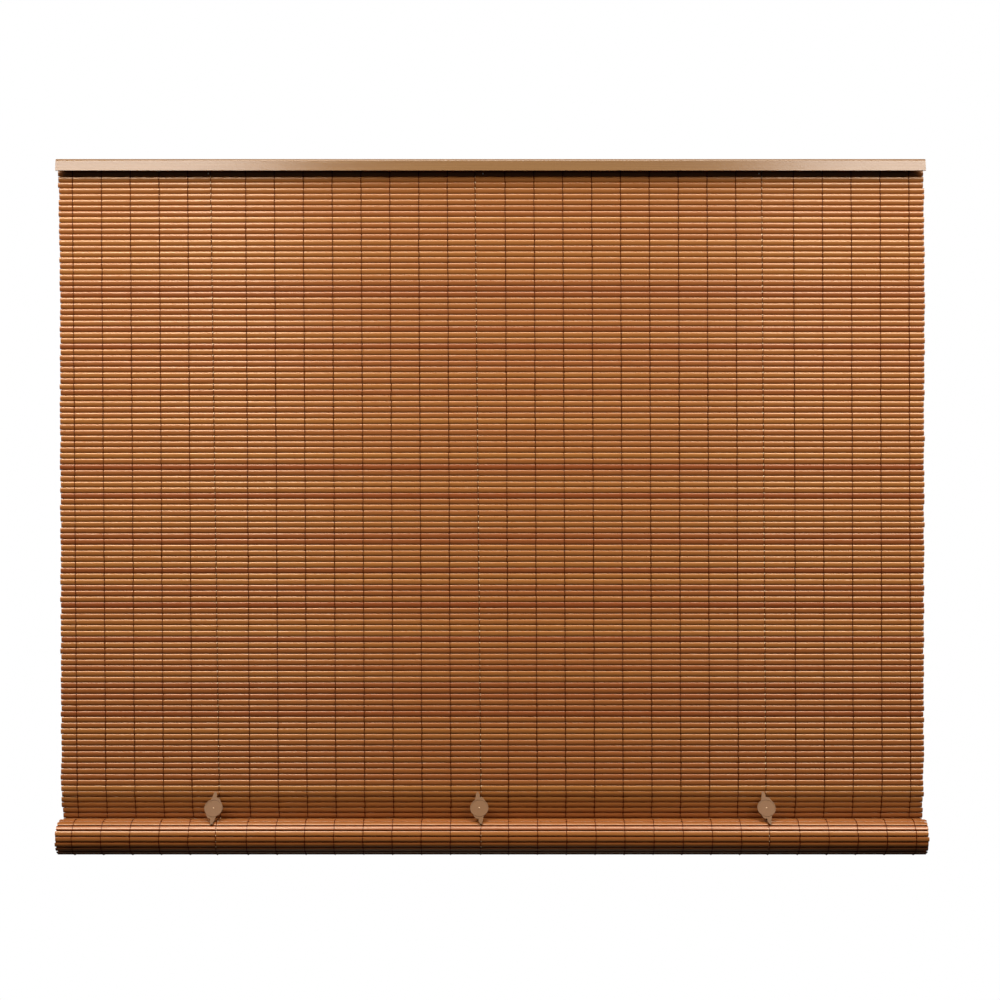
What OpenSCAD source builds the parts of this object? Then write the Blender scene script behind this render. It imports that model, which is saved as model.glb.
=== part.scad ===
// Roll-up shade: a mat of hollow slats hung from a head rail, its lower end wound up and held by three clips.
// Millimetres. X runs along the rail, -Y is the room side, +Z is up.
// The origin is midway between the two screw holes, on the top face of the rail.

/* [Head rail] */
// Length of the rail
rail_w = 1219.2; // [600:0.2:1800]
// Depth of the rail from its back face to the lower edge of its front face
rail_depth = 42; // [38:0.5:60]
// Height of the front face
rail_h = 17; // [15:0.5:30]
// How far the lower edge of the front face stands out past its upper edge
rail_lean = 3; // [0.5:0.5:5]
// Wall of the rail
rail_wall = 1.2; // [0.8:0.1:2]
// Outer radius of the rounded upper edge
rail_corner_r = 4; // [2.5:0.5:6]
// Width of the lip turned in at the lower edge
rail_lip = 4; // [2:0.5:6]

/* [Mounting] */
// Diameter of each screw hole
hole_d = 5; // [3:0.5:6]
// Distance of each screw hole from its end of the rail
hole_end = 101.6; // [50:0.2:200]
// Distance of the screw holes from the back face of the rail
hole_back = 11; // [7:0.5:14]

/* [Batten] */
// Thickness of the batten inside the rail
batten_t = 9; // [6:0.5:10]
// How far the batten reaches below the rail
batten_drop = 4.5; // [3:0.5:10]
// Diameter of the tacks that hold the mat to the batten
tack_d = 1; // [0.8:0.1:1.5]
// Diameter of a tack's head
tack_head_d = 2.4; // [1.8:0.1:4]
// Length of a tack's shank
tack_len = 8; // [5:0.5:9]

/* [Slat mat] */
// How far the mat's edges stand back from the rail's ends
mat_end_gap = 1.1; // [0.5:0.1:6]
// Distance from one slat to the next
slat_pitch = 8.1; // [7:0.1:10]
// Thickness of a slat in its middle
slat_t = 2.2; // [1.6:0.1:2.6]
// Wall of a hollow slat
slat_wall = 0.4; // [0.3:0.05:0.5]
// How far neighbouring slat edges run into each other, on each side
slat_lap = 0.12; // [0.08:0.01:0.2]
// Number of slats that hang flat
flat_slats = 109; // [40:1:119]
// Distance of the mat behind the lower edge of the rail's front face
mat_setback = 13; // [10:0.5:16]
// How far the mat reaches up into the rail
mat_tuck = 10; // [6:0.5:13]
// Angle by which the mat hangs towards the back
mat_lean = 0.55; // [0:0.05:1]

/* [Threads and cords] */
// Number of thread columns across the mat
columns = 30; // [20:1:40]
// Thickness of a warp thread
thread_t = 0.35; // [0.2:0.05:0.45]
// Width of a warp thread
thread_w = 1.3; // [0.5:0.1:2]
// Thickness of a clip cord
cord_t = 0.7; // [0.5:0.1:0.9]
// Width of a clip cord
cord_w = 1.8; // [1:0.1:2.5]

/* [Roll] */
// Angle of the bend in the mat at the clips
kink = 14; // [8:1:18]
// Number of slats between the clips and the roll
lead_slats = 7; // [6:1:8]
// Radius of the outermost half turn
roll_r = 24.9; // [22:0.1:34]
// Number of half turns in the roll
half_turns = 12; // [8:1:12]

/* [Clips] */
// Diameter of a clip's disc
disc_d = 25.6; // [22:0.2:30]
// Length of a clip from the tip of one finger to the tip of the other
clip_len = 47.6; // [44:0.2:58]
// Thickness of a clip
clip_t = 2.4; // [1.6:0.1:3]
// Diameter of a finger's rounded tip
tip_d = 3.6; // [3:0.1:5]
// Diameter of the throat beside a finger, where the cord lies
throat_d = 3.8; // [3:0.1:5]
// Width of the raised rim round the disc
rim_w = 1.2; // [0.8:0.1:2]
// Height of the raised rim
rim_h = 0.5; // [0.2:0.1:0.8]

/* [Hidden] */
sides = ["left", "centre", "right"];
$fn = 96;

// Runs past a face, so that no cut ends in it
overrun = 0.5;
// Clearance between pieces that move past each other
run_gap = 0.3;
// Clearance between pieces that lie together
seat_gap = 0.15;
// Room between a slat's crest and the strand that bridges it
strand_gap = 0.2;
// Room between the hanging mat and the first slat of the rolled part
split_gap = 0.6;
// Room left between two turns of the roll beside slats and threads
turn_gap = 0.15;
// Number of facets of the slats' arcs, fine because the arcs are flat
slat_fn = 200;
// Slats at the end of the outer turn, and beside it on the lead, that carry no strand
seam_slats = 2;
// Columns of the clip cords, counted from the left
cord_columns = [5, 14, 24];
// Distance of each clip cord to the right of its column's even place
cord_shifts = [2.5, 6.8, 3.3];
// Distance of each tack to the right of its cord
tack_shifts = [-13.9, 2.8, -11.2];
// The slat that the tacks go through, counted from the top
tack_slat = 1;
// Angle by which each clip leans in its own plane
clip_leans = [-9, 0, 2];
// Diameter of the moulding nib in the middle of a disc
nib_d = 1.4;
// How far the rod's ends stand back from the slats' ends
rod_inset = 1;
// How far the batten's ends stand back from the slats' ends
batten_inset = 1;
// Shoulder that a finger and its nub stand on, in shares of the disc's radius across and up
shoulder_shares = [[-0.55, 0.75], [-0.45, 1.1], [0.26, 1.24], [0.42, 1.16], [0.88, 0.45]];
// Middle of a finger's tip and of its throat across the clip, and how high the throat lies, in the same shares
tip_share = -0.2;
throat_shares = [0.18, 1.36];

mat_w = rail_w - 2 * mat_end_gap;
hole_spacing = rail_w - 2 * hole_end;

// The rail's front, and its leaning face at a height z, set in from the outside by inset
front_y = hole_back - rail_depth;
face_len = sqrt(rail_h * rail_h + rail_lean * rail_lean);
function face_y(z, inset) = front_y + rail_lean + (inset * face_len + z * rail_lean) / rail_h;

// The mat's section is a path in Y and Z. A state on it is [y, z, heading], with the heading in degrees
// from straight down, positive towards the back. A stretch of the path is [length, turn].
function step_on(at, stretch) =
    let (a = at[2], b = a + stretch[1])
    stretch[1] == 0
        ? [at[0] + stretch[0] * sin(a), at[1] - stretch[0] * cos(a), a]
        : let (r = stretch[0] / (stretch[1] * PI / 180))
          [at[0] + r * (cos(a) - cos(b)), at[1] - r * (sin(b) - sin(a)), b];
function starts(path, at, i = 0) =
    i == len(path) ? [at] : concat([at], starts(path, step_on(at, path[i]), i + 1));
function place(path, begins, s, i = 0) =
    i == len(path) - 1 || s <= path[i][0]
        ? step_on(begins[i], [s, path[i][1] * s / path[i][0]])
        : place(path, begins, s - path[i][0], i + 1);

// Hanging part: straight from the top of the mat to the bend at the clips
mat_top = [front_y + mat_setback, mat_tuck - rail_h, mat_lean];
flat_path = [[flat_slats * slat_pitch, 0]];
flat_begins = starts(flat_path, mat_top);
bend = flat_begins[1];

// Rolled part: the lead slants back to the roll, then half turns of falling radius go round the rod
half_step = (slat_t + 2 * thread_t + turn_gap) / 2;
function turn_r(i) = roll_r - i * half_step;
lead_len = lead_slats * slat_pitch;
lead_begin = step_on([bend[0], bend[1], mat_lean + kink], [split_gap, 0]);
roll_path = concat([[lead_len, 0]], [for (i = [0:half_turns - 1]) [PI * turn_r(i), -180]]);
roll_begins = starts(roll_path, lead_begin);
function path_len(path, i = 0) = i == len(path) ? 0 : path[i][0] + path_len(path, i + 1);
roll_slats = floor(path_len(roll_path) / slat_pitch);
outer_slats = floor((lead_len + path_len([roll_path[1], roll_path[2]])) / slat_pitch);

// Centre of half turn i
function turn_centre(i) =
    let (at = roll_begins[i + 1])
    [at[0] - turn_r(i) * cos(at[2]), at[1] - turn_r(i) * sin(at[2])];

// Radius of a half turn's crests outside and inside, where its flat slats are chords of the turn
function chord_r(r) = sqrt(r * r - slat_pitch * slat_pitch / 4);
last_turn = half_turns - 1;
rod_r = chord_r(turn_r(last_turn)) - slat_t / 2 - run_gap;

// Batten behind the mat's top
batten_front = mat_top[0] + slat_t / 2 + strand_gap + cord_t + seat_gap;
batten_low = -rail_h - batten_drop;
tack_at = place(flat_path, flat_begins, (tack_slat + 0.5) * slat_pitch);

// Clips: each hangs by its upper finger, a little in front of the bend, with its lower finger on the roll
disc_r = disc_d / 2;
tip_v = (clip_len - tip_d) / 2;
swing_r = norm([tip_d, clip_t]) / 2;
cord_front = bend[0] - slat_t / 2 - strand_gap - cord_t;
hang = [cord_front - run_gap - swing_r, bend[1] - tip_d / 2];
to_seat = hang - turn_centre(1);
seat_far = norm(to_seat);

// A clip that leans little rests on its cord, and one that leans more rests on the slats beside it
tip_gap = 2 * [tip_share * disc_r, tip_v];
function tip_shift(i) = tip_gap[0] * cos(clip_leans[i]) - tip_gap[1] * sin(clip_leans[i]);
function tip_drop(i) = tip_gap[1] * cos(clip_leans[i]) + tip_gap[0] * sin(clip_leans[i]);
throat_off = (throat_shares[0] - tip_share) * disc_r;
function on_cord(i) = abs(tip_shift(i) + throat_off) < (tip_d + cord_w) / 2;
function seat_r(i) =
    chord_r(turn_r(1)) + slat_t / 2 + run_gap + (on_cord(i) ? strand_gap + cord_t : 0);
function clip_tilt(i) =
    let (
        reach = tip_drop(i) + tip_d / 2,
        far = norm([reach, clip_t / 2]),
        angle = acos((far ^ 2 + seat_far ^ 2 - seat_r(i) ^ 2) / (2 * far * seat_far))
    )
    atan2(to_seat[0], to_seat[1]) + angle + atan(clip_t / 2 / reach);

function column_x(i) = mat_w * ((i + 0.5) / columns - 0.5);
function cord_x(i) = column_x(cord_columns[i]) + cord_shifts[i];
function is_cord(i) = len([for (c = cord_columns) if (c == i) c]) > 0;

// A profile in Y and Z, drawn out along X about the middle
module along_x(width) {
    translate([-width / 2, 0, 0])
        rotate([90, 0, 90])
            linear_extrude(width)
                children();
}

// Section of the rail set in from its outside, down to a height
module rail_outline(inset, corner_r, low) {
    centre = [face_y(-rail_corner_r, rail_corner_r), -rail_corner_r];
    back = hole_back - inset;
    polygon([
        [back, -inset],
        [centre[0], -inset],
        centre + corner_r * [-rail_h, rail_lean] / face_len,
        [face_y(low, inset), low],
        [back, low]
    ]);
    translate(centre)
        circle(r = corner_r);
}

module rail_section() {
    difference() {
        rail_outline(0, rail_corner_r, -rail_h);
        difference() {
            rail_outline(rail_wall, rail_corner_r - rail_wall, -rail_h - overrun);
            translate([front_y - overrun, -rail_h - 2 * overrun])
                square([rail_lip + overrun, rail_wall + 2 * overrun]);
        }
    }
}

module head_rail() {
    color("#9c6d43")
        difference() {
            along_x(rail_w)
                rail_section();
            for (side = [-1, 1])
                translate([side * hole_spacing / 2, 0, -rail_wall - overrun])
                    cylinder(d = hole_d, h = rail_wall + 2 * overrun);
        }
}

// Places a child at the front of a tack's slat, with its Z axis towards the back
module at_tack(i) {
    translate([cord_x(i) + tack_shifts[i], tack_at[0] - slat_t / 2, tack_at[1]])
        rotate([-90, 0, 0])
            children();
}

// From the front of the slat into the batten
shank_len = batten_front - tack_at[0] + slat_t / 2 + tack_len;

module tack(i) {
    color("#c9c4bb")
        at_tack(i) {
            cylinder(d = tack_d, h = shank_len);
            difference() {
                sphere(d = tack_head_d);
                translate([-tack_head_d, -tack_head_d, 0])
                    cube([2 * tack_head_d, 2 * tack_head_d, tack_head_d]);
            }
        }
}

module tack_holes() {
    for (i = [0:len(sides) - 1])
        at_tack(i)
            translate([0, 0, -overrun])
                cylinder(d = tack_d + 2 * seat_gap, h = overrun + shank_len + seat_gap);
}

module top_batten() {
    width = mat_w - 2 * batten_inset;
    color("#b08a5e")
        difference() {
            translate([-width / 2, batten_front, batten_low])
                cube([width, batten_t, -rail_wall - batten_low]);
            tack_holes();
        }
}

// An oval slat's section: two shallow arcs that meet at its edges
module lens(width, thickness) {
    bulge = thickness / 2;
    r = (width * width / 4 + bulge * bulge) / thickness;
    intersection() {
        translate([r - bulge, 0])
            circle(r = r, $fn = slat_fn);
        translate([bulge - r, 0])
            circle(r = r, $fn = slat_fn);
    }
}

// Places a child on slat i of a path: its chord lies between two places one pitch apart
module on_slat(path, begins, i) {
    a = place(path, begins, i * slat_pitch);
    b = place(path, begins, (i + 1) * slat_pitch);
    translate([a[0] + b[0], a[1] + b[1]] / 2)
        rotate(atan2(b[0] - a[0], a[1] - b[1]))
            children();
}

module slat_section(path, begins, count) {
    slat_w = slat_pitch + 2 * slat_lap;
    difference() {
        union() {
            for (i = [0:count - 1])
                on_slat(path, begins, i)
                    lens(slat_w, slat_t);
        }
        for (i = [0:count - 1])
            on_slat(path, begins, i)
                lens(slat_w - slat_w * slat_wall / slat_t * 2, slat_t - 2 * slat_wall);
    }
}

module hanging_mat() {
    color("#a0663a")
        difference() {
            along_x(mat_w)
                slat_section(flat_path, flat_begins, flat_slats);
            tack_holes();
        }
}

module rolled_mat() {
    color("#a0663a")
        along_x(mat_w)
            slat_section(roll_path, roll_begins, roll_slats);
}

// Crest of slat i, lifted off it, on the front of the mat (side 1) or on its back (side -1)
function crest(path, begins, i, side, lift) =
    let (
        a = place(path, begins, i * slat_pitch),
        b = place(path, begins, (i + 1) * slat_pitch),
        along = [b[0] - a[0], b[1] - a[1]] / norm([b[0] - a[0], b[1] - a[1]]),
        off = side * (slat_t / 2 + lift)
    )
    [(a[0] + b[0]) / 2 + off * along[1], (a[1] + b[1]) / 2 - off * along[0]];

// One strand over the crests of the slats from first to last, every stride slats
module strand(path, begins, first, last, stride, side, thickness) {
    polygon(concat(
        [for (i = [first:stride:last]) crest(path, begins, i, side, strand_gap)],
        [for (i = [last:-stride:first]) crest(path, begins, i, side, strand_gap + thickness)]
    ));
}

// The strands of one column on the hanging mat, in front and behind
module flat_strands(width, thickness) {
    for (side = [1, -1])
        along_x(width)
            strand(flat_path, flat_begins, 0, flat_slats - 1, flat_slats - 1, side, thickness);
}

// The strands of one column on the rolled part: in front of the lead, and over the outside of the roll
module roll_strands(width, thickness) {
    along_x(width)
        strand(roll_path, roll_begins, 0, lead_slats - 1 - seam_slats, 1, 1, thickness);
    along_x(width)
        strand(roll_path, roll_begins, 0, outer_slats - 1 - seam_slats, 1, -1, thickness);
}

module mat_threads() {
    color("#4a2a14")
        for (i = [0:columns - 1])
            if (!is_cord(i))
                translate([column_x(i), 0, 0])
                    flat_strands(thread_w, thread_t);
}

module roll_threads() {
    color("#4a2a14")
        for (i = [0:columns - 1])
            if (!is_cord(i))
                translate([column_x(i), 0, 0])
                    roll_strands(thread_w, thread_t);
}

module mat_cord(i) {
    color("#8a5a35")
        translate([cord_x(i), 0, 0])
            flat_strands(cord_w, cord_t);
}

module roll_cord(i) {
    color("#8a5a35")
        translate([cord_x(i), 0, 0])
            roll_strands(cord_w, cord_t);
}

module bottom_rod() {
    length = mat_w - 2 * rod_inset;
    centre = turn_centre(last_turn);
    color("#b08a5e")
        translate([-length / 2, centre[0], centre[1]])
            rotate([0, 90, 0])
                cylinder(r = rod_r, h = length);
}

// Upper finger: it tapers from a shoulder on the disc to a rounded tip, with a round throat and a nub beside it
module finger_outline() {
    tip = [tip_share * disc_r, tip_v];
    throat = throat_shares * disc_r;
    shoulder = shoulder_shares * disc_r;
    difference() {
        union() {
            polygon([
                shoulder[0],
                shoulder[1],
                tip - [tip_d / 2, 0],
                tip + [tip_d / 2, 0],
                throat,
                shoulder[2],
                shoulder[3],
                shoulder[4]
            ]);
            translate(tip)
                circle(d = tip_d);
        }
        translate(throat)
            circle(d = throat_d);
    }
}

module clip(i) {
    color("#95704c")
        translate([cord_x(i) - throat_off, hang[0], hang[1]])
            rotate([-clip_tilt(i), 0, 0])
                rotate([0, -clip_leans[i], 0])
                    translate([-tip_share * disc_r, clip_t / 2, -tip_v])
                        rotate([90, 0, 0]) {
                            linear_extrude(clip_t) {
                                circle(d = disc_d);
                                finger_outline();
                                rotate(180)
                                    finger_outline();
                            }
                            linear_extrude(clip_t + rim_h)
                                difference() {
                                    circle(d = disc_d);
                                    circle(d = disc_d - 2 * rim_w);
                                }
                            cylinder(d = nib_d, h = clip_t + rim_h);
                        }
}

head_rail();
top_batten();
hanging_mat();
mat_threads();
rolled_mat();
roll_threads();
bottom_rod();
for (i = [0:len(sides) - 1]) {
    tack(i);
    mat_cord(i);
    roll_cord(i);
    clip(i);
}
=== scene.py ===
import math
import random

import bmesh
import bpy
from mathutils import Matrix, Vector


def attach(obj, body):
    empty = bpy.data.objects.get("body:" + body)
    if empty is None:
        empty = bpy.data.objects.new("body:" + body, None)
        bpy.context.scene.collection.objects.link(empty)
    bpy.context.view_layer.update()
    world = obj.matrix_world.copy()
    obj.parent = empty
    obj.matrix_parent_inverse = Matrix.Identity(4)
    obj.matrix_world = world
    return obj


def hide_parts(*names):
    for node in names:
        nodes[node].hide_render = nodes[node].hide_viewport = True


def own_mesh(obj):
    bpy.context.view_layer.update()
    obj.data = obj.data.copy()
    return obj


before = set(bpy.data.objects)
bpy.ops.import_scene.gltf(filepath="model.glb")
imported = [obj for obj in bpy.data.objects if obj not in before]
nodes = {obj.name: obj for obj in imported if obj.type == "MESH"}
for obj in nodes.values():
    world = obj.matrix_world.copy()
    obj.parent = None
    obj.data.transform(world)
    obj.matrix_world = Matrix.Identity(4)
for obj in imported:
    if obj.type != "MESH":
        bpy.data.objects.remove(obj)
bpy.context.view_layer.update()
scene = bpy.context.scene
sides = ("left", "centre", "right")
rng = random.Random(7)

# Camera: level, in front of the rail and a little right of its middle
view = {"lens": 61.73, "place": (0.0133, -2.431, -0.4783)}
camera = bpy.data.objects.new("camera", bpy.data.cameras.new("camera"))
scene.collection.objects.link(camera)
camera.data.lens = view["lens"]
camera.location = view["place"]
camera.rotation_euler = (math.radians(90), 0, 0)
scene.camera = camera
scene.view_settings.view_transform = "Standard"
print("camera placed")


def linear(hexColour):
    parts = [int(hexColour[i:i + 2], 16) / 255 for i in (1, 3, 5)]
    return [c / 12.92 if c <= 0.04045 else ((c + 0.055) / 1.055) ** 2.4 for c in parts] + [1]


def newMaterial(name):
    material = bpy.data.materials.new(name)
    material.use_nodes = True
    return material, material.node_tree.nodes["Principled BSDF"]


def addNode(material, kind, inputs=None, **settings):
    made = material.node_tree.nodes.new(kind)
    for key, value in settings.items():
        setattr(made, key, value)
    for key, value in (inputs or {}).items():
        if isinstance(value, bpy.types.NodeSocket):
            material.node_tree.links.new(value, made.inputs[key])
        else:
            made.inputs[key].default_value = value
    return made


# Noise drawn out along X, for streaks and grain
def addGrain(material, stretch, detail):
    place = addNode(material, "ShaderNodeTexCoord")
    stretched = addNode(material, "ShaderNodeMapping", {"Vector": place.outputs["Object"], "Scale": stretch})
    return addNode(material, "ShaderNodeTexNoise",
                   {"Vector": stretched.outputs["Vector"], "Scale": 1, "Detail": detail})


# Extruded brown PVC: each slat has its own tone, with faint streaks along it; its lower edge is painted
# shade, dark and without gloss, standing in for the shade in the grooves between slats
slatPvc, shader = newMaterial("slat_pvc")
tone = addNode(slatPvc, "ShaderNodeAttribute", attribute_name="tone")
streak = addGrain(slatPvc, (4, 900, 900), 2)
toneStreak = addNode(slatPvc, "ShaderNodeMath",
                     {0: streak.outputs["Fac"], 1: 0.3, 2: tone.outputs["Fac"]}, operation="MULTIPLY_ADD")
slatRamp = addNode(slatPvc, "ShaderNodeValToRGB", {"Fac": toneStreak.outputs["Value"]})
# The darkest stop is painted shade, reached only on the slats' lower edges
slatRamp.color_ramp.elements[0].color = linear("#56220A")
slatRamp.color_ramp.elements.new(0.12).color = linear("#84431F")
slatRamp.color_ramp.elements[2].color = linear("#9A602C")
slatPvc.node_tree.links.new(slatRamp.outputs["Color"], shader.inputs["Base Color"])
shader.inputs["Roughness"].default_value = 0.27
# Gloss falls away to none on that painted shade of the lower edges
glossOffInPaintedShade = addNode(slatPvc, "ShaderNodeMapRange",
                {"Value": tone.outputs["Fac"], "From Min": -0.3, "From Max": 0.1,
                 "To Min": 0, "To Max": 0.9})
slatPvc.node_tree.links.new(glossOffInPaintedShade.outputs["Result"], shader.inputs["Specular IOR Level"])
shader.inputs["Specular Tint"].default_value = linear("#FFE8CC")

# Dark brown cotton thread
threadCotton, shader = newMaterial("thread_cotton")
shader.inputs["Base Color"].default_value = linear("#4E1C06")
shader.inputs["Roughness"].default_value = 0.9
shader.inputs["Specular IOR Level"].default_value = 0

# Pale cotton strand of the twisted cords that the clips hang by
cordCotton, shader = newMaterial("cord_cotton")
shader.inputs["Base Color"].default_value = linear("#F2D2A2")
shader.inputs["Roughness"].default_value = 0.8

# Satin wood-tone coat on the metal rail, grain along its length
railCoat, shader = newMaterial("rail_wood_tone_coat")
grain = addGrain(railCoat, (6, 700, 700), 3)
railRamp = addNode(railCoat, "ShaderNodeValToRGB", {"Fac": grain.outputs["Fac"]})
railRamp.color_ramp.elements[0].position = 0.3
railRamp.color_ramp.elements[0].color = linear("#76532E")
railRamp.color_ramp.elements[1].position = 0.7
railRamp.color_ramp.elements[1].color = linear("#805C35")
railCoat.node_tree.links.new(railRamp.outputs["Color"], shader.inputs["Base Color"])
shader.inputs["Roughness"].default_value = 0.27

# Moulded tan plastic of the clips
clipPlastic, shader = newMaterial("clip_plastic")
shader.inputs["Base Color"].default_value = linear("#6E4820")
shader.inputs["Roughness"].default_value = 0.5
shader.inputs["Specular IOR Level"].default_value = 0.3

# The moulding nub in the middle of each clip, of the clip's own plastic but painted paler as a painted
# highlight
paintedHighlightPlastic, shader = newMaterial("nub_painted_highlight")
shader.inputs["Base Color"].default_value = linear("#E8C8A0")
shader.inputs["Roughness"].default_value = 0.5

# Raw pine of the batten and the rod
rawPine, shader = newMaterial("raw_pine")
shader.inputs["Base Color"].default_value = linear("#B08A5E")
shader.inputs["Roughness"].default_value = 0.7

# Pale, dull, non-metal colour on the steel tack heads: a painted highlight, so that they show bright in the
# shade under the rail
paleTackHighlight, shader = newMaterial("tack_painted_highlight")
shader.inputs["Base Color"].default_value = linear("#F2ECE0")
shader.inputs["Roughness"].default_value = 0.4
print("materials made")


# A piece of the part, smooth but for its creases and for faces of flatArea or more, in square metres
def newPiece(name, bm, material, body, replaced, flatArea=1):
    mesh = bpy.data.meshes.new(name)
    bm.to_mesh(mesh)
    bm.free()
    mesh.materials.append(material)
    mesh.set_sharp_from_angle(angle=math.radians(40))
    for face in mesh.polygons:
        face.use_smooth = face.area < flatArea
    piece = bpy.data.objects.new(name, mesh)
    scene.collection.objects.link(piece)
    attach(piece, body)
    if replaced:
        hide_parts(*replaced)
    return piece


# The mat's path in Y and Z, as in the CAD: straight down, a bend at the clips, then half turns round the rod
mat = {"top": (-0.018, -0.007, math.radians(0.55)), "pitch": 0.0081, "width": 1.217, "thickness": 0.0031,
       "hanging": 109, "upper": 12, "kink": math.radians(14), "lead": 7,
       "rollRadius": 0.0249, "halfStep": 0.001525, "halfTurns": 12, "lift": 0.78,
       "tilt": math.radians(4), "swing": math.radians(1.5), "rollSwing": math.radians(2.5),
       "rollChord": 0.8, "rollFlat": 0.55, "creep": 0.0025, "creepSlats": 10, "slip": 0.0009,
       "tone": 0.45, "toneSpread": 0.2}


def stepOn(at, length, turn):
    y, z, a = at
    b = a + turn
    if turn == 0:
        return y + length * math.sin(a), z - length * math.cos(a), a
    r = length / turn
    return y + r * (math.cos(a) - math.cos(b)), z - r * (math.sin(b) - math.sin(a)), b


def placeOn(path, start, s):
    at = start
    for length, turn in path:
        if s <= length:
            return stepOn(at, s, turn * s / length)
        at = stepOn(at, length, turn)
        s -= length
    return at


# One matrix per slat: its middle, with local Z up its chord and local -Y to the front of the mat
def slatFrames(path, start, count):
    frames = []
    for i in range(count):
        a = placeOn(path, start, i * mat["pitch"])
        b = placeOn(path, start, (i + 1) * mat["pitch"])
        middle = Matrix.Translation((0, (a[0] + b[0]) / 2, (a[1] + b[1]) / 2))
        frames.append(middle @ Matrix.Rotation(math.atan2(b[0] - a[0], a[1] - b[1]), 4, "X"))
    return frames


hangLength = mat["hanging"] * mat["pitch"]
hangPath = [(hangLength, 0)]
hangFrames = slatFrames(hangPath, mat["top"], mat["hanging"])
bend = stepOn(mat["top"], hangLength, 0)
rollStart = (bend[0], bend[1], bend[2] + mat["kink"])
rollPath = [(mat["lead"] * mat["pitch"], 0)]
rollPath += [(math.pi * (mat["rollRadius"] - i * mat["halfStep"]), -math.pi)
             for i in range(mat["halfTurns"])]
rollCount = int(sum(length for length, turn in rollPath) / mat["pitch"])
rollFrames = slatFrames(rollPath, rollStart, rollCount)

# The lead and the first two half turns lie outermost
outerPath = rollPath[:3]
outerCount = int(sum(length for length, turn in outerPath) / mat["pitch"])

# One oval slat with hollow ends: a ring drawn out along X, from the bottom of one hollow to that of the other
# The last two entries give where each slat's lower edge begins, as a share of its half chord, and the tone of
# painted shade that edge gets
slat = {"sides": 28, "halfChord": 0.00416, "fullness": 1.2, "wall": 0.0004, "depth": 0.012, "taper": 0.004,
        "tip": 0.88, "edgeWalls": 3, "rim": 0.85, "paintedShadeTone": -0.3}


def bulge(share):
    return mat["thickness"] / 2 * (1 - share * share) ** (slat["fullness"] / 2)


half = mat["width"] / 2
thin = 1 - 2 * slat["wall"] / mat["thickness"]
narrow = slat["tip"] - slat["edgeWalls"] * slat["wall"] / slat["halfChord"]
stations = [(-half + slat["depth"], thin, narrow), (-half, thin, narrow),
            (-half, 1, slat["tip"]), (-half + slat["taper"], 1, 1)]
stations += [(-x, y, z) for x, y, z in reversed(stations)]
bm = bmesh.new()
upright = Matrix.Rotation(math.radians(90), 4, "Y")
ring = bmesh.ops.create_circle(bm, segments=slat["sides"], radius=1, matrix=upright)["verts"]
for v in ring:
    v.co = (0, math.copysign(bulge(max(-1, min(1, v.co.z))), v.co.y), v.co.z * slat["halfChord"])
edges = bm.edges[:]
at = (0, 1, 1)
for i, (x, y, z) in enumerate(stations):
    if i > 0:
        drawn = bmesh.ops.extrude_edge_only(bm, edges=edges)["geom"]
        ring = [g for g in drawn if isinstance(g, bmesh.types.BMVert)]
        edges = [g for g in drawn if isinstance(g, bmesh.types.BMEdge)]
    bmesh.ops.scale(bm, verts=ring, vec=(1, y / at[1], z / at[2]))
    bmesh.ops.translate(bm, verts=ring, vec=(x - at[0], 0, 0))
    at = (x, y, z)
bmesh.ops.holes_fill(bm, edges=bm.edges, sides=slat["sides"])
bmesh.ops.recalc_face_normals(bm, faces=bm.faces)
if bm.calc_volume(signed=True) < 0:
    bmesh.ops.reverse_faces(bm, faces=bm.faces)
print("slat drawn, open edges", sum(not e.is_manifold for e in bm.edges))
slatMesh = bpy.data.meshes.new("slat")
bm.to_mesh(slatMesh)
bm.free()


# Upper edges of the hanging slats lie forward
def tiltOf(number):
    return mat["tilt"] if number < mat["hanging"] else 0


# Slats wound on the roll are flatter and narrower, so that they gape a little
def squeezeOf(number):
    return (mat["rollFlat"], mat["rollChord"]) if number >= mat["hanging"] + mat["lead"] else (1, 1)


# Slats of a stretch of the mat, from the one numbered first: they creep to the right on the way down
def slatPiece(name, frames, first, swing, body, node):
    bm = bmesh.new()
    toneAndShadeLayer = bm.verts.layers.float.new("tone")
    for number, placed in enumerate(frames, first):
        known = len(bm.verts)
        bm.from_mesh(slatMesh)
        bm.verts.ensure_lookup_table()
        fresh = bm.verts[known:]
        # Vertices along the slat's lower edge, which get painted shade
        paintedShadeVerts = [v for v in fresh if v.co.z < -slat["rim"] * slat["halfChord"]]
        flat, chord = squeezeOf(number)
        turn = tiltOf(number) + rng.uniform(-swing, swing)
        creep = mat["creep"] * (1 - math.exp(-number / mat["creepSlats"]))
        aside = creep + rng.uniform(-mat["slip"], mat["slip"])
        jitter = Matrix.Translation((aside, 0, 0)) @ Matrix.Rotation(turn, 4, "X")
        squeeze = Matrix.Diagonal((1, flat, chord, 1))
        bmesh.ops.transform(bm, matrix=placed @ jitter @ squeeze, verts=fresh)
        shade = min(1, max(0, rng.gauss(mat["tone"], mat["toneSpread"])))
        for v in fresh:
            v[toneAndShadeLayer] = shade
        # Painted shade on the lower edge, below the range of the slats' own tone
        for v in paintedShadeVerts:
            v[toneAndShadeLayer] = slat["paintedShadeTone"]
    return newPiece(name, bm, slatPvc, body, [node])


upper = mat["upper"]
slatPiece("upper_mat", hangFrames[:upper], 0, mat["swing"], "head", "hanging_mat")
lowerMat = slatPiece("lower_mat", hangFrames[upper:], upper, mat["swing"], "head", "hanging_mat")
slatPiece("rolled_slats", rollFrames, mat["hanging"], mat["rollSwing"], "roll", "rolled_mat")
print("slats laid", len(hangFrames) + len(rollFrames))

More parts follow.
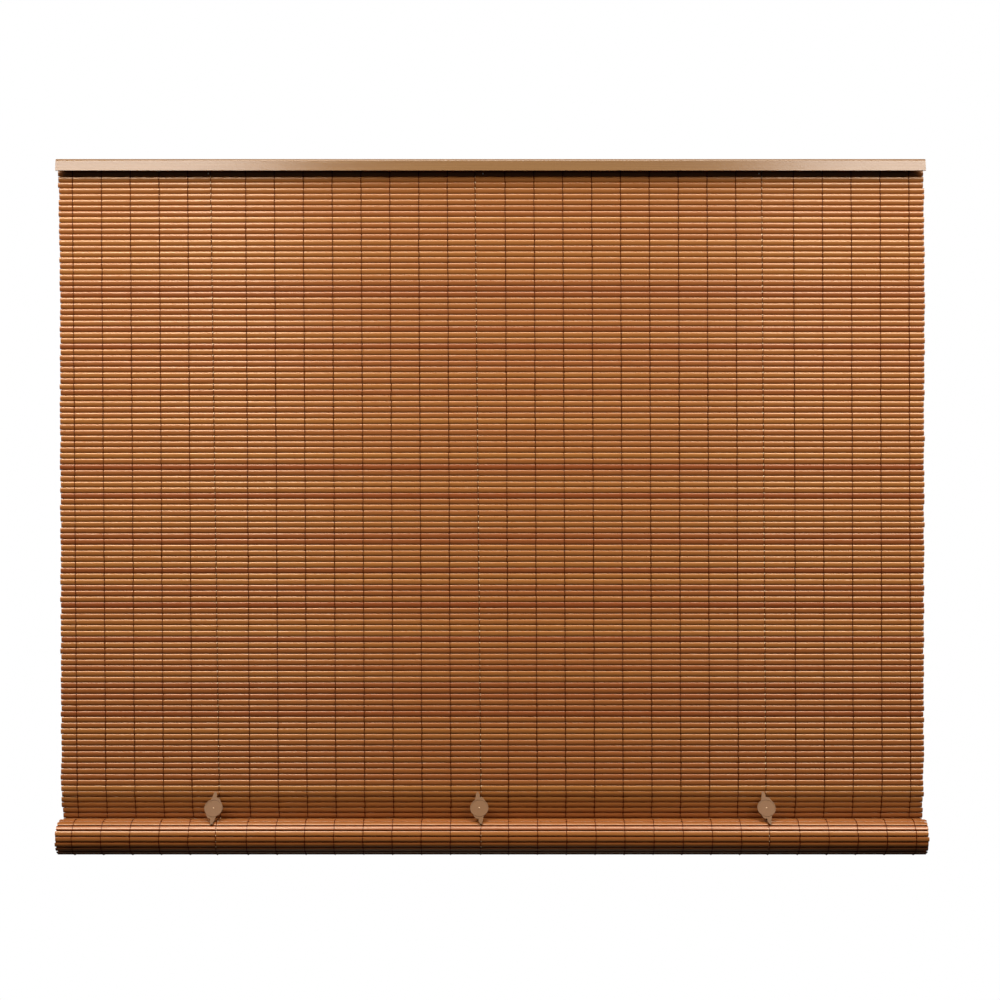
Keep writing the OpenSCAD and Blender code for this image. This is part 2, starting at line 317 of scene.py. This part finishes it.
# Dark threads run over each slat and dip into the gaps beside it
# At each clip a pale strand comes out near each slat's top too
# Stops are shares of the pitch, down from the slat's middle
weave = {"columns": 30, "skew": 0.0049, "stops": (-0.5, -0.3, 0, 0.3), "thread": 0.0005, "knot": 1.5,
         "lift": 0.00012, "bed": 0.6, "hug": 0.98, "dip": 0.0003, "slant": 0.0005, "drift": 0.0003,
         "cordColumns": (5, 14, 24), "cordTops": (-0.394, -0.0221, 0.3811),
         "cordEnds": (-0.3829, -0.0135, 0.3887), "cordStops": (-0.5, -0.42, -0.34, -0.24, 0.2),
         "shown": (-0.45, -0.3), "strand": 0.0006, "proud": 0.0002, "slatsShort": 2}
columnX = [mat["width"] * ((i + 0.5) / weave["columns"] - 0.5) for i in range(weave["columns"])]
columnX = [(x, x + weave["skew"]) for x in columnX]
cordX = list(zip(weave["cordTops"], weave["cordEnds"]))
for i, ends in zip(weave["cordColumns"], cordX):
    columnX[i] = ends


# How far a strand lies in front of or behind the slats' middle
def threadOut(u, flat):
    over = max(weave["dip"], flat * bulge(2 * abs(u) * weave["hug"]))
    return over + weave["lift"] + weave["thread"] * weave["bed"]


def cordOut(u, flat):
    shown = weave["shown"][0] < u < weave["shown"][1]
    return flat * bulge(2 * abs(u)) + (weave["proud"] if shown else -2 * weave["strand"])


def strandLine(frames, first, ends, side, pale):
    line = []
    lean = rng.choice((-1, 1)) * weave["slant"]
    for number, placed in enumerate(frames, first):
        drift = rng.uniform(-weave["drift"], weave["drift"])
        flat = squeezeOf(number)[0]
        for u in weave["cordStops"] if pale else weave["stops"]:
            share = min(1, (number + 0.5 + u) / mat["hanging"])
            across = ends[0] + (ends[1] - ends[0]) * share
            if not pale:
                across += drift + lean * u
            out = cordOut(u, flat) if pale else threadOut(u, flat)
            out -= side * u * mat["pitch"] * math.sin(tiltOf(number))
            knot = weave["knot"] if u == weave["stops"][0] and not pale else 1
            line.append((placed @ Vector((across, -side * out, -u * mat["pitch"])), knot))
    return line


def tubes(lines, radius):
    curve = bpy.data.curves.new("strands", "CURVE")
    curve.dimensions = "3D"
    curve.bevel_depth = radius
    curve.bevel_resolution = 0
    curve.use_fill_caps = True
    for line in lines:
        spline = curve.splines.new("POLY")
        spline.points.add(len(line) - 1)
        for point, (co, knot) in zip(spline.points, line):
            point.co = (*co, 1)
            point.radius = knot
    holder = bpy.data.objects.new("strands", curve)
    scene.collection.objects.link(holder)
    bm = bmesh.new()
    mesh = holder.to_mesh()
    bm.from_mesh(mesh)
    holder.to_mesh_clear()
    bpy.data.objects.remove(holder)
    return bm


def threadPiece(name, runs, body, node):
    lines = [strandLine(frames, first, ends, side, False)
             for frames, first, side in runs for ends in columnX]
    return newPiece(name, tubes(lines, weave["thread"]), threadCotton, body, [node])


def cordPiece(name, runs, body, stem):
    lines = [strandLine(frames, first, ends, side, True)
             for frames, first, side in runs for ends in cordX]
    replaced = [stem + side for side in sides]
    return newPiece(name, tubes(lines, weave["strand"]), cordCotton, body, replaced)


# Each run is a stretch of slats, the number of its first slat, and 1 for the front or -1 for the back
# On the roll the strands stop a few slats short of what shows
upperRuns = [(hangFrames[:upper], 0, 1), (hangFrames[:upper], 0, -1)]
lowerRuns = [(hangFrames[upper:], upper, 1), (hangFrames[upper:], upper, -1)]
rollRuns = [(rollFrames[:mat["lead"] - weave["slatsShort"]], mat["hanging"], 1),
            (rollFrames[:outerCount - weave["slatsShort"]], mat["hanging"], -1)]
threadPiece("upper_threads", upperRuns, "head", "mat_threads")
lowerThreads = threadPiece("lower_threads", lowerRuns, "head", "mat_threads")
threadPiece("rolled_threads", rollRuns, "roll", "roll_threads")
cordPiece("upper_cords", upperRuns, "head", "mat_cord_")
lowerCords = cordPiece("lower_cords", lowerRuns, "head", "mat_cord_")
cordPiece("rolled_cords", rollRuns, "roll", "roll_cord_")

# The lower mat, its threads and its cords get meshes of their own; where the lower mat's top lies is worked
# out too
topOfLower = placeOn(hangPath, mat["top"], upper * mat["pitch"])
for piece in (lowerMat, lowerThreads, lowerCords):
    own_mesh(piece)
print("threads and cords woven")

# Rail and clips: the CAD shape with its edges eased
ease = {"rail": 0.0003, "clip": 0.0005, "sharp": math.radians(30), "level": math.radians(1), "weld": 1e-6,
        "flatArea": 1.5e-5, "steps": 3}
nub = {"radius": 0.0009, "around": 16, "along": 8, "facing": -0.5}


def eased(name, node, material, body, edge):
    bm = bmesh.new()
    bm.from_mesh(nodes[node].data)
    bmesh.ops.remove_doubles(bm, verts=bm.verts, dist=ease["weld"])
    bmesh.ops.dissolve_limit(bm, angle_limit=ease["level"], verts=bm.verts, edges=bm.edges)
    corners = [e for e in bm.edges if len(e.link_faces) == 2 and e.calc_face_angle() > ease["sharp"]]
    bmesh.ops.bevel(bm, geom=corners, offset=edge, offset_type="OFFSET", segments=ease["steps"], profile=0.5,
                    affect="EDGES", clamp_overlap=True, material=-1)
    return newPiece(name, bm, material, body, [node], ease["flatArea"])


eased("rail", "head_rail", railCoat, "head", ease["rail"])
for side in sides:
    clip = eased("disc_clip_" + side, "clip_" + side, clipPlastic, "clip_" + side, ease["clip"])
    recess = max((f for f in clip.data.polygons if f.normal.y < nub["facing"]), key=lambda f: f.area)
    nubBm = bmesh.new()
    bmesh.ops.create_uvsphere(nubBm, u_segments=nub["around"], v_segments=nub["along"],
                              radius=nub["radius"])
    bmesh.ops.translate(nubBm, verts=nubBm.verts, vec=recess.center)
    # The nub takes the paler colour that stands for its highlight
    newPiece("clip_nub_" + side, nubBm, paintedHighlightPlastic, "clip_" + side, [])
print("rail and clips eased")

# The batten, the rod and the tacks keep their CAD shape
plainPieces = {"top_batten": rawPine, "bottom_rod": rawPine}
plainPieces.update({"tack_" + side: paleTackHighlight for side in sides})
for name, material in plainPieces.items():
    nodes[name].data.materials.clear()
    nodes[name].data.materials.append(material)

# Floor below the view, pale from every side
ground = {"height": -5, "half": 1.2}
floorBm = bmesh.new()
bmesh.ops.create_grid(floorBm, x_segments=1, y_segments=1, size=ground["half"])
bmesh.ops.translate(floorBm, verts=floorBm.verts, vec=(0, 0, ground["height"]))
floorMesh = bpy.data.meshes.new("floor")
floorBm.to_mesh(floorMesh)
floorBm.free()
floorPaint, shader = newMaterial("floor_paint")
shader.inputs["Base Color"].default_value = linear("#E6E4E1")
shader.inputs["Roughness"].default_value = 0.9
shader.inputs["Emission Color"].default_value = linear("#E6E4E1")
looked = addNode(floorPaint, "ShaderNodeLightPath")
floorPaint.node_tree.links.new(looked.outputs["Is Camera Ray"], shader.inputs["Emission Strength"])
floorMesh.materials.append(floorPaint)
floor = bpy.data.objects.new("floor", floorMesh)
scene.collection.objects.link(floor)

# Soft boxes above and in front of the rail's ends, a wide one overhead, and one for the back
softBoxes = {"left": {"place": (-1.05, -1, 0.6), "size": (1.2, 0.8), "turn": -8, "energy": 44},
             "right": {"place": (1.2, -1, 0.6), "size": (1.2, 0.8), "turn": -8, "energy": 46},
             "overhead": {"place": (0, -0.8, 1.2), "size": (1.6, 0.8), "turn": 0, "energy": 39},
             "back": {"place": (0, 1.4, -0.1), "size": (1.6, 0.5), "turn": -80, "energy": 26}}
for name, softBox in softBoxes.items():
    lamp = bpy.data.lights.new("soft_box_" + name, "AREA")
    lamp.shape = "RECTANGLE"
    lamp.size, lamp.size_y = softBox["size"]
    lamp.energy = softBox["energy"]
    lamp.color = (1, 0.97, 0.92)
    box = bpy.data.objects.new("soft_box_" + name, lamp)
    scene.collection.objects.link(box)
    box.location = softBox["place"]
    box.rotation_euler.x = math.radians(softBox["turn"])

# White behind the shade, in view and in reflections that look back there; a dim room in front
world = bpy.data.worlds.new("studio")
scene.world = world
world.use_nodes = True
seen = addNode(world, "ShaderNodeLightPath")
toward = addNode(world, "ShaderNodeTexCoord")
parts = addNode(world, "ShaderNodeSeparateXYZ", {0: toward.outputs["Generated"]})
behind = addNode(world, "ShaderNodeMath", {0: parts.outputs["Y"], 1: 0.95}, operation="GREATER_THAN")
mirrored = addNode(world, "ShaderNodeMath",
                   {0: seen.outputs["Is Glossy Ray"], 1: seen.outputs["Is Transmission Ray"]},
                   operation="MAXIMUM")
backdrop = addNode(world, "ShaderNodeMath",
                   {0: mirrored.outputs[0], 1: behind.outputs[0]}, operation="MULTIPLY")
shown = addNode(world, "ShaderNodeMath",
                {0: seen.outputs["Is Camera Ray"], 1: backdrop.outputs[0]}, operation="MAXIMUM")
white = addNode(world, "ShaderNodeBackground", {"Color": (1, 1, 1, 1), "Strength": 1})
dim = addNode(world, "ShaderNodeBackground", {"Color": (1, 1, 1, 1), "Strength": 0.03})
mixed = addNode(world, "ShaderNodeMixShader",
                {0: shown.outputs[0], 1: dim.outputs["Background"], 2: white.outputs["Background"]})
world.node_tree.links.new(mixed.outputs["Shader"], world.node_tree.nodes["World Output"].inputs["Surface"])
print("stage lit")
